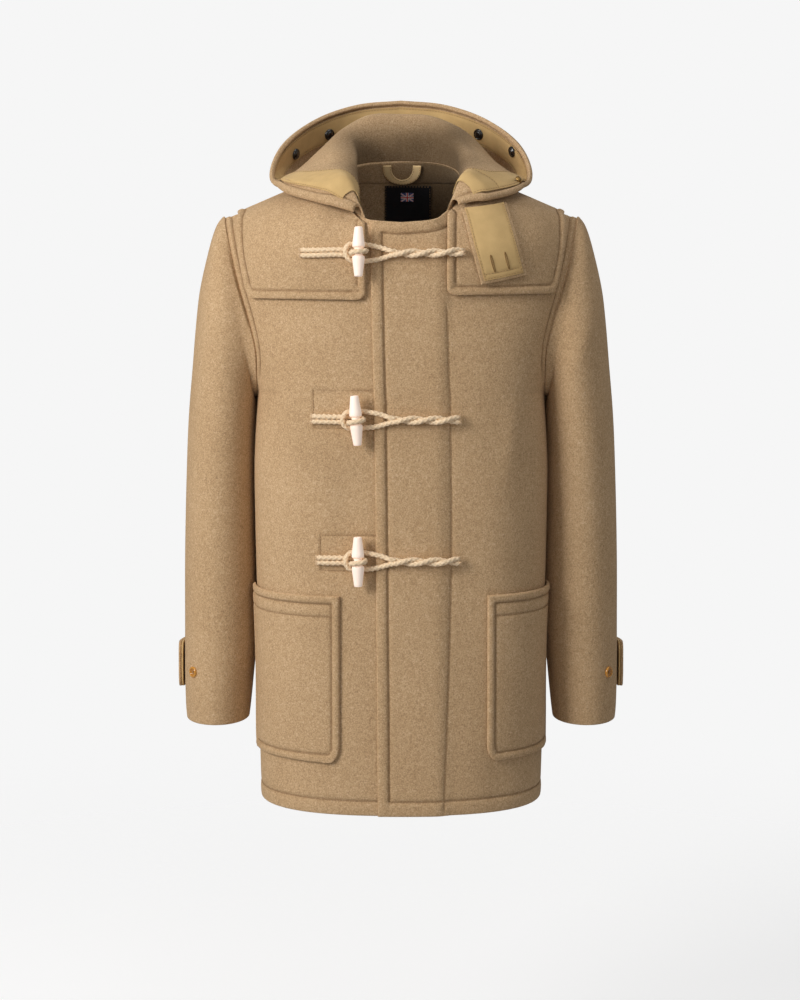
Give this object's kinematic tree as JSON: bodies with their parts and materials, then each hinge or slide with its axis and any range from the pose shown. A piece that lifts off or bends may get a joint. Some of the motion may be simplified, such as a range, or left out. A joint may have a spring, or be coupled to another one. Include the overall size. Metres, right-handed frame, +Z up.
{
  "type": "duffle coat",
  "caption": "Hip-length wool duffle coat, filled out with no wearer, with toggles on cord loops, a hood folded back, shoulder yokes, patch pockets, cuff straps and a throat tab.",
  "frame": {"origin": "base of the neck, midway between the shoulder tips and level with them, where the wearer carries the coat", "axes": "+Z up, -Y out of the coat's front, +X towards the wearer's left"},
  "size_m": [0.6068, 0.3529, 0.9375],
  "materials": {
    "wool": "thick brushed wool, camel",
    "cotton": "plain yellow-tan cotton",
    "label": "black woven tape, bare",
    "toggle": "pale satin, horn-like",
    "cord": "twisted natural jute",
    "button": "amber, polished",
    "snap": "black enamel",
    "brass": "satin"
  },
  "bodies": {
    "root": {"front_right": "wool", "front_left": "wool", "back": "wool", "sleeve_right": "wool", "sleeve_left": "wool", "yoke_right": "wool", "yoke_left": "wool", "yoke_back": "wool", "hood": "wool", "pocket_right": "wool", "pocket_left": "wool", "cuff_strap_right": "wool", "cuff_strap_left": "wool", "throat_tab": "wool", "hood_facing": "cotton", "throat_tab_facing": "cotton", "hanging_loop": "cotton", "label": "label", "toggle_1": "toggle", "toggle_2": "toggle", "toggle_3": "toggle", "toggle_cord_1": "cord", "toggle_cord_2": "cord", "toggle_cord_3": "cord", "loop_cord_1": "cord", "loop_cord_2": "cord", "loop_cord_3": "cord", "cuff_button_right": "button", "cuff_button_left": "button", "strap_button_right": "button", "strap_button_left": "button", "hood_snap_1": "snap", "hood_snap_2": "snap", "hood_snap_3": "snap", "hood_snap_4": "snap", "hood_snap_5": "brass"}
  },
  "joints": []
}
